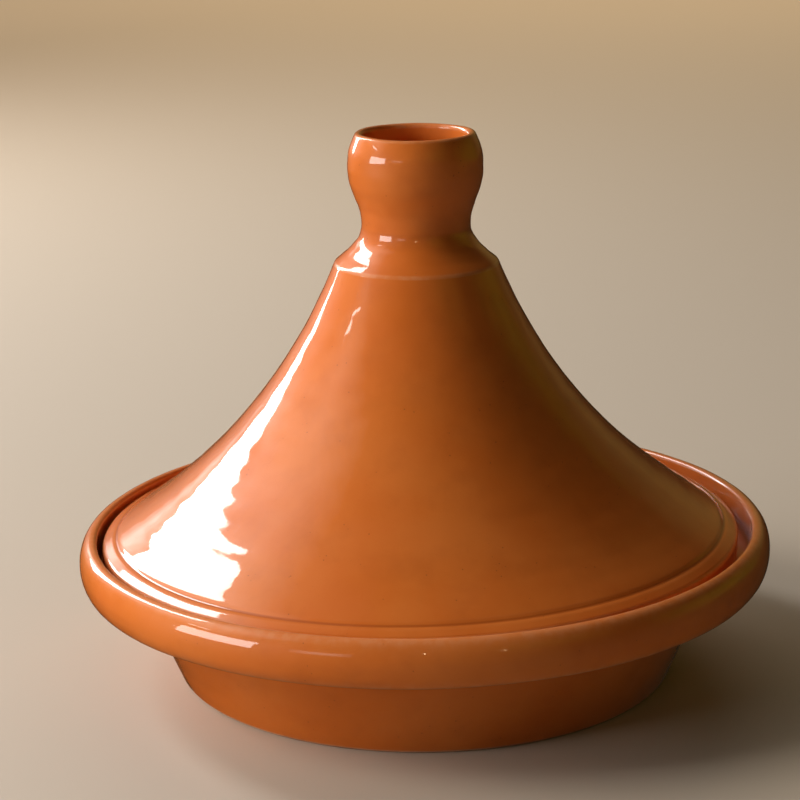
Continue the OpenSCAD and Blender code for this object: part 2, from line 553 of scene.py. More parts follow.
class NodeSheet:
    """A short way to lay out a material's nodes and join them."""

    def __init__(self, name: str) -> None:
        """Starts an empty node material with a Principled shader.

        Args:
            name: Name of the material.
        """
        self.material = bpy.data.materials.new(name)
        self.material.use_nodes = True
        self.tree = self.material.node_tree
        self.tree.nodes.clear()
        self.shader = self.node("ShaderNodeBsdfPrincipled")
        output = self.node("ShaderNodeOutputMaterial")
        self.join(self.shader.outputs["BSDF"], output.inputs["Surface"])
        self.place = self.node("ShaderNodeTexCoord").outputs["Object"]

    def node(self, kind: str, **settings: object) -> bpy.types.Node:
        """Adds a node and sets its properties.

        Args:
            kind: Type of the node.
            **settings: Properties of the node and their values.

        Returns:
            The new node.
        """
        made = self.tree.nodes.new(kind)
        for key, value in settings.items():
            setattr(made, key, value)
        return made

    def join(self, source: Socket, target: Socket) -> None:
        """Links an output to an input."""
        self.tree.links.new(source, target)

    def noise(self, scale: float, detail: float = 4.0, rough: float = 0.5) -> Socket:
        """Fractal noise on the object's coordinates.

        Args:
            scale: Cycles per metre of the coarsest layer.
            detail: Number of finer layers.
            rough: Strength of each finer layer next to the one before.

        Returns:
            The noise, between 0 and 1.
        """
        made = self.node("ShaderNodeTexNoise")
        self.join(self.place, made.inputs["Vector"])
        made.inputs["Scale"].default_value = scale
        made.inputs["Detail"].default_value = detail
        made.inputs["Roughness"].default_value = rough
        return made.outputs["Fac"]

    def spots(self, scale: float) -> Socket:
        """Distance to the nearest of scattered points.

        Args:
            scale: Number of points per metre.

        Returns:
            The distance, where 1 is the size of a cell.
        """
        made = self.node("ShaderNodeTexVoronoi")
        self.join(self.place, made.inputs["Vector"])
        made.inputs["Scale"].default_value = scale
        return made.outputs["Distance"]

    def ramp(self, source: Socket, low: float, high: float,
             to_low: float = 0.0, to_high: float = 1.0) -> Socket:
        """Maps one range of values to another by a smooth step.

        Args:
            source: Value to map.
            low: Value that becomes to_low.
            high: Value that becomes to_high.
            to_low: Lower end of the result.
            to_high: Upper end of the result.

        Returns:
            The mapped value.
        """
        made = self.node("ShaderNodeMapRange", interpolation_type="SMOOTHSTEP")
        self.join(source, made.inputs["Value"])
        for key, value in (("From Min", low), ("From Max", high), ("To Min", to_low), ("To Max", to_high)):
            made.inputs[key].default_value = value
        return made.outputs["Result"]

    def product(self, one: Socket, other: Socket) -> Socket:
        """Multiplies two numbers.

        Args:
            one: First number.
            other: Second number.

        Returns:
            Their product.
        """
        made = self.node("ShaderNodeMath", operation="MULTIPLY")
        self.join(one, made.inputs[0])
        self.join(other, made.inputs[1])
        return made.outputs[0]

    def blend(self, share: Socket, below: Socket | Colour,
              above: Colour) -> Socket:
        """Lays one colour over another.

        Args:
            share: How much of the upper colour shows.
            below: Lower colour, as a socket or as numbers.
            above: Upper colour.

        Returns:
            The mixed colour.
        """
        made = self.node("ShaderNodeMix", data_type="RGBA")
        self.join(share, made.inputs["Factor"])
        base, top = [socket for socket in made.inputs if socket.type == "RGBA"]
        if isinstance(below, tuple):
            base.default_value = (*below, 1.0)
        else:
            self.join(below, base)
        top.default_value = (*above, 1.0)
        return next(socket for socket in made.outputs if socket.type == "RGBA")

    def bump(self, source: Socket, height: float,
             under: Socket | None = None) -> Socket:
        """Tilts the normal as a relief would.

        Args:
            source: Relief, between 0 and 1.
            height: Height of the relief in metres.
            under: An earlier bump that this one lies on.

        Returns:
            The tilted normal.
        """
        made = self.node("ShaderNodeBump")
        made.inputs["Strength"].default_value = 1.0
        made.inputs["Distance"].default_value = height
        self.join(source, made.inputs["Height"])
        if under is not None:
            self.join(under, made.inputs["Normal"])
        return made.outputs["Normal"]


@dataclass(frozen=True)
class Mottle:
    """A cloudy pattern: fractal noise whose values from low to high become to_low to to_high.

    Attributes:
        scale: Cycles per metre of the coarsest layer.
        low: Noise that becomes to_low.
        high: Noise that becomes to_high.
        to_low: Lower end of the result.
        to_high: Upper end of the result.
        detail: Number of finer layers.
        rough: Strength of each finer layer next to the one before.
    """

    scale: float
    low: float
    high: float
    to_low: float = 0.0
    to_high: float = 1.0
    detail: float = 4.0
    rough: float = 0.5

    def on(self, sheet: NodeSheet) -> Socket:
        """Lays the pattern's nodes out on a sheet and gives its value."""
        cloud = sheet.noise(self.scale, self.detail, self.rough)
        return sheet.ramp(cloud, self.low, self.high, self.to_low, self.to_high)


@dataclass(frozen=True)
class Dots:
    """Scattered round dots: distances from low to high become to_low to to_high.

    Attributes:
        scale: Number of dots per metre.
        low: Distance that becomes to_low.
        high: Distance that becomes to_high.
        to_low: Lower end of the result.
        to_high: Upper end of the result.
    """

    scale: float
    low: float
    high: float
    to_low: float = 0.0
    to_high: float = 1.0

    def on(self, sheet: NodeSheet) -> Socket:
        """Lays the pattern's nodes out on a sheet and gives its value."""
        return sheet.ramp(sheet.spots(self.scale), self.low, self.high, self.to_low, self.to_high)


@dataclass(frozen=True)
class ClearGlazeOverClay:
    """Red clay seen through a glossy clear glaze that pools in hollows and thins on edges.

    Attributes:
        name: Name of the material.
        clay: Colour of the clay under an even coat.
        warm: Lighter clay, where the slip is brushed thick.
        deep: Darker clay, where the glaze pools.
        edge: Colour where the glaze breaks on an edge.
        speck: Colour of the iron specks.
        cloud: Where the slip is thick.
        wash: Thin darker clouds.
        worn: How much of an edge is worn, in patches.
        dots: The iron specks.
        rare: The few places that have specks.
        roughness: Roughness of the clay under the glaze.
        pool_from: Thinness below which the glaze starts to pool.
        pool_full: Thinness at which it has pooled.
        pool_share: How much of the deep colour shows there.
        worn_from: Thinness at which the glaze starts to break.
        worn_full: Thinness at which it has broken.
        ripple: Height of the waves in the glaze, and their cycles per metre.
        pits: Pinholes in the glaze.
        pit_depth: Depth of the pinholes.
        grain: Height of the clay's grain, and its cycles per metre.
        under_gloss: Specular level of the clay under the glaze.
        gloss: Roughness of the glaze's surface.
        refraction: Index of refraction of the glaze.
    """

    name: str
    clay: Colour = (0.600, 0.142, 0.018)
    warm: Colour = (0.640, 0.172, 0.028)
    deep: Colour = (0.380, 0.080, 0.010)
    edge: Colour = (0.640, 0.230, 0.085)
    speck: Colour = (0.220, 0.055, 0.014)
    cloud: Mottle = Mottle(16.0, 0.34, 0.68, detail=5.0, rough=0.55)
    wash: Mottle = Mottle(60.0, 0.45, 0.80, to_high=0.22, detail=3.0)
    worn: Mottle = Mottle(260.0, 0.35, 0.65, 0.35, 0.8)
    dots: Dots = Dots(420.0, 0.16, 0.08, to_high=0.6)
    rare: Mottle = Mottle(120.0, 0.60, 0.66, detail=1.0)
    roughness: Mottle = Mottle(40.0, 0.3, 0.7, 0.38, 0.52)
    pool_from: float = 0.46
    pool_full: float = 0.10
    pool_share: float = 0.75
    worn_from: float = 0.62
    worn_full: float = 0.98
    ripple: tuple[float, float] = (0.05 * MM, 110.0)
    pits: Dots = Dots(520.0, 0.05, 0.16)
    pit_depth: float = 0.006 * MM
    grain: tuple[float, float] = (0.03 * MM, 900.0)
    under_gloss: float = 0.25
    gloss: float = 0.045
    refraction: float = 1.55

    def material(self) -> bpy.types.Material:
        """Builds the node material.

        Returns:
            The material, ready to be put on a piece.
        """
        sheet = NodeSheet(self.name)
        colour = sheet.blend(self.cloud.on(sheet), self.clay, self.warm)
        colour = sheet.blend(self.wash.on(sheet), colour, self.deep)
        thin = sheet.node("ShaderNodeAttribute", attribute_name="glaze_thin").outputs["Fac"]
        pooled = sheet.ramp(thin, self.pool_from, self.pool_full, 0.0, self.pool_share)
        colour = sheet.blend(pooled, colour, self.deep)
        worn = sheet.product(sheet.ramp(thin, self.worn_from, self.worn_full), self.worn.on(sheet))
        colour = sheet.blend(worn, colour, self.edge)
        specks = sheet.product(self.dots.on(sheet), self.rare.on(sheet))
        colour = sheet.blend(specks, colour, self.speck)
        shader = sheet.shader
        sheet.join(colour, shader.inputs["Base Color"])
        sheet.join(self.roughness.on(sheet), shader.inputs["Roughness"])
        ripple_height, ripple_scale = self.ripple
        waves = sheet.bump(sheet.noise(ripple_scale, 2.0), ripple_height)
        sheet.join(sheet.bump(self.pits.on(sheet), self.pit_depth, waves), shader.inputs["Coat Normal"])
        grain_height, grain_scale = self.grain
        sheet.join(sheet.bump(sheet.noise(grain_scale, 2.0), grain_height), shader.inputs["Normal"])
        shader.inputs["Specular IOR Level"].default_value = self.under_gloss
        shader.inputs["Coat Weight"].default_value = 1.0
        shader.inputs["Coat Roughness"].default_value = self.gloss
        shader.inputs["Coat IOR"].default_value = self.refraction
        return sheet.material


@dataclass(frozen=True)
class BareClay:
    """Fired red clay with no glaze: matt, a little paler, with fine grog.

    Attributes:
        name: Name of the material.
        clay: Colour of the clay.
        pale: Colour of its paler clouds.
        dark: Colour of the grog.
        cloud: The paler clouds.
        grog: The grains of grog.
        roughness: Roughness of the surface.
        grain: Height of the grain, and its cycles per metre.
        pit_depth: Depth of the pits round the grog.
    """

    name: str
    clay: Colour = (0.520, 0.215, 0.105)
    pale: Colour = (0.640, 0.330, 0.190)
    dark: Colour = (0.300, 0.120, 0.060)
    cloud: Mottle = Mottle(38.0, 0.3, 0.7, detail=6.0)
    grog: Dots = Dots(900.0, 0.22, 0.10, to_high=0.7)
    roughness: Mottle = Mottle(300.0, 0.3, 0.7, 0.78, 0.94)
    grain: tuple[float, float] = (0.10 * MM, 1600.0)
    pit_depth: float = 0.06 * MM

    def material(self) -> bpy.types.Material:
        """Builds the node material.

        Returns:
            The material, ready to be put on a piece.
        """
        sheet = NodeSheet(self.name)
        colour = sheet.blend(self.cloud.on(sheet), self.clay, self.pale)
        colour = sheet.blend(self.grog.on(sheet), colour, self.dark)
        shader = sheet.shader
        sheet.join(colour, shader.inputs["Base Color"])
        sheet.join(self.roughness.on(sheet), shader.inputs["Roughness"])
        grain_height, grain_scale = self.grain
        grain = sheet.bump(sheet.noise(grain_scale, 3.0), grain_height)
        pits = sheet.bump(sheet.spots(self.grog.scale), self.pit_depth, grain)
        sheet.join(pits, shader.inputs["Normal"])
        return sheet.material


class Part(Enum):
    """The CAD nodes that the visible pieces stand for."""

    DISH = "base_dish"
    FLANK = "lid_cone"
    KNOB = "lid_knob"


# ---------------------------------------------------------------------------------------------
# The pot's pieces
# ---------------------------------------------------------------------------------------------


@dataclass
class ClayPiece:
    """What every clay piece has: the body it rides on, its slot and how it is made.

    Attributes:
        name: Name of the visible piece.
        part: CAD node that it stands for.
        body: Body that it rides on.
        slot: Name of a material slot; not used.
        sag: Warp that it shares with the other pieces.
        marks: Marks of throwing on its surface.
        glaze: Finish of its glazed faces.
        shift: Where it stands off the axis.
    """

    name: str
    part: Part
    body: str
    slot: str
    sag: KilnSag
    marks: ThrowingMarks = field(default_factory=ThrowingMarks)
    glaze: ClearGlazeOverClay = ClearGlazeOverClay("clear_glaze")
    shift: Place = (0.0, 0.0, 0.0)

    def outline(self) -> Outline:
        """The outline to turn; each piece has its own."""
        raise NotImplementedError

    def quiet(self) -> tuple[tuple[float, float], ...]:
        """Heights, each with a reach, where the piece meets another and lies true."""
        return ()

    def bare_faces(self, centres: Array, normals: Array) -> Array:
        """Finds the faces left bare of glaze; none by default.

        Args:
            centres: Middle of each face.
            normals: Normal of each face.

        Returns:
            True for each bare face.
        """
        return np.zeros(len(centres), bool)

    def make(self, bare: bpy.types.Material) -> bpy.types.Object:
        """Builds the piece, dresses it and hands it to its body.

        Args:
            bare: Material of the faces left without glaze.

        Returns:
            The finished piece.
        """
        turned = TurnedMesh(self.outline(), self.marks, self.sag, self.shift, self.quiet())
        piece = turned.build(self.name)
        mesh = piece.data
        mesh.materials.append(self.glaze.material())
        centres = np.zeros(3 * len(mesh.polygons))
        normals = np.zeros(3 * len(mesh.polygons))
        mesh.polygons.foreach_get("center", centres)
        mesh.polygons.foreach_get("normal", normals)
        chosen = self.bare_faces(centres.reshape(-1, 3), normals.reshape(-1, 3))
        if chosen.any():
            mesh.materials.append(bare)
            mesh.polygons.foreach_set("material_index", chosen.astype(np.int32))
        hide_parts(self.part.value)
        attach(piece, self.body)
        return piece


@dataclass
class Dish(ClayPiece):
    """The cooking dish: foot ring, leaning wall, thick rim band, lid gutter and bowl.

    Attributes:
        rim_wall: Thickness of the rim's upright wall.
        band_height: Height of the thick band round the rim.
        band_bulge: How far the band bulges past its rounded underside.
        gutter_depth: Depth of the gutter below the rim's top edge.
        foot_set_in: How far the foot is set in from the rim.
        wall_lean: How far the wall leans out up to the band.
        wall: Thickness of the wall.
        floor: Thickness of the floor.
        foot_hollow: Height of the hollow inside the foot ring.
        foot_ring: Width of the foot ring.
        foot_round: Rounding of the foot's outside corner.
        bowl_round: Rounding between the floor and the wall.
        rim_edge_round: Rounding of the rim's inner top edge.
        gutter_round: Rounding between the gutter and the rim's wall.
        ledge_round: Rounding between the gutter and the bowl.
        under_rim_round: Rounding between the band and the wall.
        band_start: Angle at which the band's inner oval takes over, above the level.
        foot_calm: Reach of the unmarked clay at the foot.
        gutter_calm: Reach of the unmarked clay at the gutter's floor.
        bare_reach: How far above the hollow a face still counts as underside.
        count: About how many points the outline has.
    """

    rim_wall: float = 7.8 * MM
    band_height: float = 20.0 * MM
    band_bulge: float = 5.0 * MM
    gutter_depth: float = 12.0 * MM
    foot_set_in: float = 42.0 * MM
    wall_lean: float = 16.0 * MM
    wall: float = 8.0 * MM
    floor: float = 9.0 * MM
    foot_hollow: float = 2.5 * MM
    foot_ring: float = 14.0 * MM
    foot_round: float = 2.5 * MM
    bowl_round: float = 14.0 * MM
    rim_edge_round: float = 1.8 * MM
    gutter_round: float = 2.0 * MM
    ledge_round: float = 5.0 * MM
    under_rim_round: float = 5.0 * MM
    band_start: float = 3.0
    foot_calm: float = 3.0 * MM
    gutter_calm: float = 2.0 * MM
    bare_reach: float = 0.5 * MM
    count: int = 335

    def __post_init__(self) -> None:
        """Takes the overall sizes from the CAD model."""
        low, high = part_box(self.part.value)
        self.rim_radius = (high.x - low.x) / 2.0
        self.height = high.z
        self.foot_radius = self.rim_radius - self.foot_set_in
        self.band_low = self.height - self.band_height
        self.gutter = self.height - self.gutter_depth
        self.rim_inside = self.rim_radius - self.rim_wall

    def wall_at(self, height: float) -> float:
        """Radius of the outer wall at a height."""
        return self.foot_radius + self.wall_lean * height / self.band_low

    def outline(self) -> Outline:
        """From the middle of the underside, round the outside and down into the bowl.

        Returns:
            The outline, open at the axis.
        """
        lean = math.degrees(math.atan(self.wall_lean / self.band_low))
        mid = self.band_low + self.band_height / 2.0
        half_band = self.band_height / 2.0
        floor = self.foot_hollow + self.floor
        ring = self.foot_radius - self.foot_ring
        foot = point(self.wall_at(self.foot_round) - self.foot_round, self.foot_round)
        under_z = self.band_low - self.under_rim_round
        under = point(self.wall_at(self.band_low) + self.under_rim_round, under_z)
        ledge_radius = self.wall_at(self.gutter) - self.wall + self.ledge_round
        ledge = point(ledge_radius, self.gutter - self.ledge_round)
        bowl_z = floor + self.bowl_round
        bowl = point(self.wall_at(bowl_z) - self.wall - self.bowl_round, bowl_z)
        corner = self.rim_edge_round
        gutter_corner = point(self.rim_inside - self.gutter_round, self.gutter + self.gutter_round)
        band = point(self.rim_radius - self.band_bulge, mid)
        crest = point(self.rim_inside + corner, mid)
        start, end = self.band_start, 90.0 - self.band_start
        parts = [
            level_line(0.0, ring - 2.0 * self.foot_hollow, self.foot_hollow, LEVEL_POINTS),
            self.foot_slope(ring),
            arc(foot, self.foot_round, -90.0, -lean),
            arc(under, self.under_rim_round, 180.0 - lean, 90.0),
            oval(band, self.band_bulge, half_band, -90.0, 0.0),
            oval(crest, self.rim_wall - corner, half_band, start, end),
            arc(point(self.rim_inside + corner, self.height - corner), corner, 90.0, 180.0),
            arc(gutter_corner, self.gutter_round, 0.0, -90.0),
            arc(ledge, self.ledge_round, 90.0, 180.0 - lean),
            arc(bowl, self.bowl_round, -lean, -90.0),
            level_line(bowl[0], 0.0, floor, LEVEL_POINTS)[1:],
        ]
        return Outline.through(parts, self.count)

    def foot_slope(self, ring: float) -> Array:
        """The soft slope from the hollow down to the foot ring, as one smooth curve.

        Args:
            ring: Inner radius of the foot ring.

        Returns:
            Points of the slope.
        """
        hollow = self.foot_hollow
        start = point(ring - 2.0 * hollow, hollow)
        end = point(ring + 0.4 * hollow, 0.0)
        return cubic(start, point(ring - hollow, hollow), point(ring - 0.6 * hollow, 0.0), end, 16)

    def quiet(self) -> tuple[tuple[float, float], ...]:
        """The foot stands level and the gutter's floor carries the lid."""
        return ((0.0, self.foot_calm), (self.gutter, self.gutter_calm))

    def bare_faces(self, centres: Array, normals: Array) -> Array:
        """The foot ring and all inside it, seen from below."""
        return (centres[:, 2] < self.foot_hollow + self.bare_reach) & (normals[:, 2] < -0.5)


@dataclass
class Flank(ClayPiece):
    """The lid's flared flank, from its seat ring in the gutter up to the shoulder.

    Attributes:
        bow: How far the flank bows inwards off a straight line.
        wall: Thickness of the flank.
        edge_height: Height of the upright edge that ends it.
        seat_width: Width of the ring under the edge.
        edge_round: Rounding of the edge's outside corners.
        seat_round: Rounding of the seat ring's inside corner.
        crease_rise: Way up the flank from the edge's rounding to the crease.
        crease_depth: Depth of the crease.
        crease_width: Half-width of the crease, where it has lost two thirds of its depth.
        seat_calm: Reach of the unmarked clay at the seat.
        shoulder_calm: Reach of the unmarked clay at the shoulder.
        bare_reach: Height of the bare clay above the seat.
        count: About how many points the outline has.
    """

    bow: float = 13.0 * MM
    wall: float = 7.0 * MM
    edge_height: float = 10.0 * MM
    seat_width: float = 9.0 * MM
    edge_round: float = 2.8 * MM
    seat_round: float = 1.5 * MM
    crease_rise: float = 5.5 * MM
    crease_depth: float = 0.45 * MM
    crease_width: float = 1.3 * MM
    seat_calm: float = 3.0 * MM
    shoulder_calm: float = 9.0 * MM
    bare_reach: float = 1.2 * MM
    count: int = 335

    def __post_init__(self) -> None:
        """Takes the overall sizes from the CAD model."""
        low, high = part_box(self.part.value)
        knob_low, knob_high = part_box(Part.KNOB.value)
        self.seat = low.z
        self.edge_radius = (high.x - low.x) / 2.0
        self.shoulder = point((knob_high.x - knob_low.x) / 2.0, knob_low.z)

    def bowed(self) -> BowedLine:
        """The flank's outer face, from the top of the lid's edge to the shoulder.

        Returns:
            The circle through the top of the edge's rounding and the shoulder.
        """
        corner = self.corner
        rise = self.shoulder - corner
        chord = float(np.linalg.norm(rise))
        turn = math.degrees(math.atan2(-rise[0], rise[1]) + 2.0 * math.atan(2.0 * self.bow / chord))
        return BowedLine(corner + self.edge_round * facing(turn), self.shoulder, self.bow)

    def creased(self, face: Array, centre: Array) -> Array:
        """Presses a shallow line into the flank, as deep as a bell curve, above its rounded edge.

        Args:
            face: Points of the flank's outer face, from its foot up.
            centre: Centre of the face's circle, outside the clay.

        Returns:
            The points, moved along the face's normals.
        """
        way = np.linalg.norm(face - face[0], axis=1)
        depth = self.crease_depth * np.exp(-(((way - self.crease_rise) / self.crease_width) ** 2))
        inward = (face - centre) / np.linalg.norm(face - centre, axis=1)[:, None]
        return face + inward * depth[:, None]

    @property
    def corner(self) -> Array:
        """Centre of the rounding at the top of the lid's edge."""
        return point(self.edge_radius - self.edge_round, self.seat + self.edge_height - self.edge_round)

    def outline(self) -> Outline:
        """The seat ring, up the outside to the shoulder and down the inside, as a loop.

        Returns:
            The outline, closed, clear of the axis.
        """
        line = self.bowed()
        top = self.shoulder[1]
        seat_in = self.edge_radius - self.seat_width
        turn = line.angle_at_radius(line.foot[0]) - 180.0
        face = line.stretch(line.angle_at_radius(line.foot[0]), line.angle_at_height(top))
        inner_top = line.angle_at_height(top, self.wall)
        inner_foot = line.angle_at_radius(seat_in, self.wall)
        seat_corner = point(seat_in + self.seat_round, self.seat + self.seat_round)
        parts = [
            arc(seat_corner, self.seat_round, 180.0, 270.0),
            arc(point(self.corner[0], self.seat + self.edge_round), self.edge_round, -90.0, 0.0),
            arc(self.corner, self.edge_round, 0.0, turn),
            self.creased(face, line.centre),
            line.stretch(inner_top, inner_foot, self.wall),
        ]
        return Outline.through(parts, self.count, closed=True)

    def quiet(self) -> tuple[tuple[float, float], ...]:
        """The seat stands in the gutter and the shoulder is joined to the knob."""
        return ((self.seat, self.seat_calm), (float(self.shoulder[1]), self.shoulder_calm))

    def bare_faces(self, centres: Array, normals: Array) -> Array:
        """The underside of the seat ring."""
        return (centres[:, 2] < self.seat + self.bare_reach) & (normals[:, 2] < -0.35)


@dataclass
class Knob(ClayPiece):
    """The hollow knob: a small open cup on a waist, on a flare that meets the shoulder.

    Attributes:
        waist_radius: Radius of the waist.
        waist_rise: Height of the waist above the shoulder.
        bulb_radius: Radius of the bulb at its widest.
        bulb_rise: Height of the widest part above the shoulder.
        mouth_radius: Outside radius of the lip.
        lip: Thickness of the lip.
        wall: Thickness of the side wall.
        cup_floor: Thickness of the cup's floor.
        shoulder_round: Rounding of the shoulder's soft corner.
        cup_round: Rounding between the cup's floor and its wall.
        flare_face: Angle that the foot of the flare faces, above the horizontal.
        lip_face: Angle that the side faces where the lip begins.
        flare_pull: Reach of the flare's handles, as a share of its chord.
        foot_calm: Reach of the unmarked clay at the shoulder.
        count: About how many points the outline has.
        flank: The flank that the knob is joined to.
    """

    waist_radius: float = 23.2 * MM
    waist_rise: float = 16.6 * MM
    bulb_radius: float = 28.6 * MM
    bulb_rise: float = 41.5 * MM
    mouth_radius: float = 25.8 * MM
    lip: float = 3.6 * MM
    wall: float = 4.6 * MM
    cup_floor: float = 10.0 * MM
    shoulder_round: float = 4.0 * MM
    cup_round: float = 8.0 * MM
    flare_face: float = 50.0
    lip_face: float = 25.0
    flare_pull: float = 0.35
    foot_calm: float = 6.0 * MM
    count: int = 300
    flank: Flank | None = None

    def __post_init__(self) -> None:
        """Takes the overall sizes from the CAD model."""
        low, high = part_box(self.part.value)
        self.shoulder = point((high.x - low.x) / 2.0, low.z)
        self.top = high.z

    def quiet(self) -> tuple[tuple[float, float], ...]:
        """The foot of the knob is joined to the flank's shoulder."""
        return ((float(self.shoulder[1]), self.foot_calm),)

    def outline(self) -> Outline:
        """From the middle of the underside, up over waist and bulb to the lip, and into the cup.

        Returns:
            The outline, open at the axis.
        """
        line = self.flank.bowed()
        base = self.shoulder[1]
        face = line.angle_at_height(base) - 180.0
        centre = self.shoulder - self.shoulder_round * facing(face)
        foot = centre + self.shoulder_round * facing(self.flare_face)
        waist = point(self.waist_radius, base + self.waist_rise)
        bulb = point(self.bulb_radius, base + self.bulb_rise)
        pull = self.flare_pull * float(np.linalg.norm(waist - foot))
        lip = self.lip / 2.0
        lip_centre = point(self.mouth_radius - lip, self.top - lip)
        lip_foot = lip_centre + lip * facing(self.lip_face)
        lip_pull = UPRIGHT_PULL * (lip_foot[1] - bulb[1])
        cup_z = base + self.cup_floor
        cup = point(self.waist_radius - self.wall - self.cup_round, cup_z + self.cup_round)
        in_bulb = bulb - point(self.wall, 0.0)
        flare_handle = foot + pull * facing(self.flare_face + 90.0)
        lip_handle = lip_foot - lip_pull * facing(self.lip_face + 90.0)
        parts = [
            level_line(0.0, self.shoulder[0], base, 30)[:-1],
            arc(centre, self.shoulder_round, face, self.flare_face),
            cubic(foot, flare_handle, waist - point(0.0, pull), waist),
            upright_cubic(waist, bulb),
            cubic(bulb, bulb + point(0.0, lip_pull), lip_handle, lip_foot),
            arc(lip_centre, lip, self.lip_face, 180.0),
            upright_cubic(lip_centre - point(lip, 0.0), in_bulb),
            upright_cubic(in_bulb, cup + point(self.cup_round, 0.0)),
            arc(cup, self.cup_round, 0.0, -90.0),
            level_line(cup[0], 0.0, cup_z, 16)[1:],
        ]
        return Outline.through(parts, self.count)


# ---------------------------------------------------------------------------------------------
# The studio and its lights
# ---------------------------------------------------------------------------------------------


@dataclass(frozen=True)
class SoftBox:
    """A rectangular soft light that faces the pot.

    Attributes:
        name: Name of the light.
        azimuth: Direction in degrees, from +Y towards +X.
        elevation: Angle above the horizon in degrees.
        distance: Distance from the pot's middle.
        width: Width of the light.
        height: Height of the light.
        power: Power in watts.
        colour: Colour of the light.
        lean: Turn about its own facing direction in degrees, clockwise as the pot sees it.
        mirrored: False for a light that the glaze doesn't mirror.
        layers: Number of nested panels; more of them fade the light out towards its edges.
        layer_gap: Distance between nested panels.
        aim: Where the light points, counted from the middle of the pot.
        innermost: Size that the nested panels shrink towards, as a share of the whole.
    """

    name: str
    azimuth: float
    elevation: float
    distance: float
    width: float
    height: float
    power: float
    colour: Colour = (1.0, 1.0, 1.0)
    lean: float = 0.0
    mirrored: bool = True
    layers: int = 1
    layer_gap: float = 0.01
    aim: Place = (0.0, 0.0, 0.0)
    innermost: float = 0.2

    def place(self, target: Vector) -> None:
        """Sets the light up, panel by panel, and turns it towards the pot.

        Args:
            target: Middle of the pot.
        """
        shrink = [1.0 - (1.0 - self.innermost) * k / self.layers for k in range(self.layers)]
        whole = sum(share * share for share in shrink)
        a, e = math.radians(self.azimuth), math.radians(self.elevation)
        away = Vector((math.sin(a) * math.cos(e), math.cos(a) * math.cos(e), math.sin(e)))
        roll = Euler((0.0, 0.0, math.radians(self.lean))).to_quaternion()
        for k, share in enumerate(shrink):
            data = bpy.data.lights.new(f"{self.name}_{k}", "AREA")
            data.shape = "RECTANGLE"
            data.size, data.size_y = self.width * share, self.height * share
            data.energy, data.color = self.power * share * share / whole, self.colour
            light = bpy.data.objects.new(data.name, data)
            light.location = target + Vector(self.aim) + away * (self.distance - k * self.layer_gap)
            light.rotation_euler = (away.to_track_quat("Z", "Y") @ roll).to_euler()
            light.visible_camera = False
            light.visible_glossy = self.mirrored
            bpy.context.scene.collection.objects.link(light)


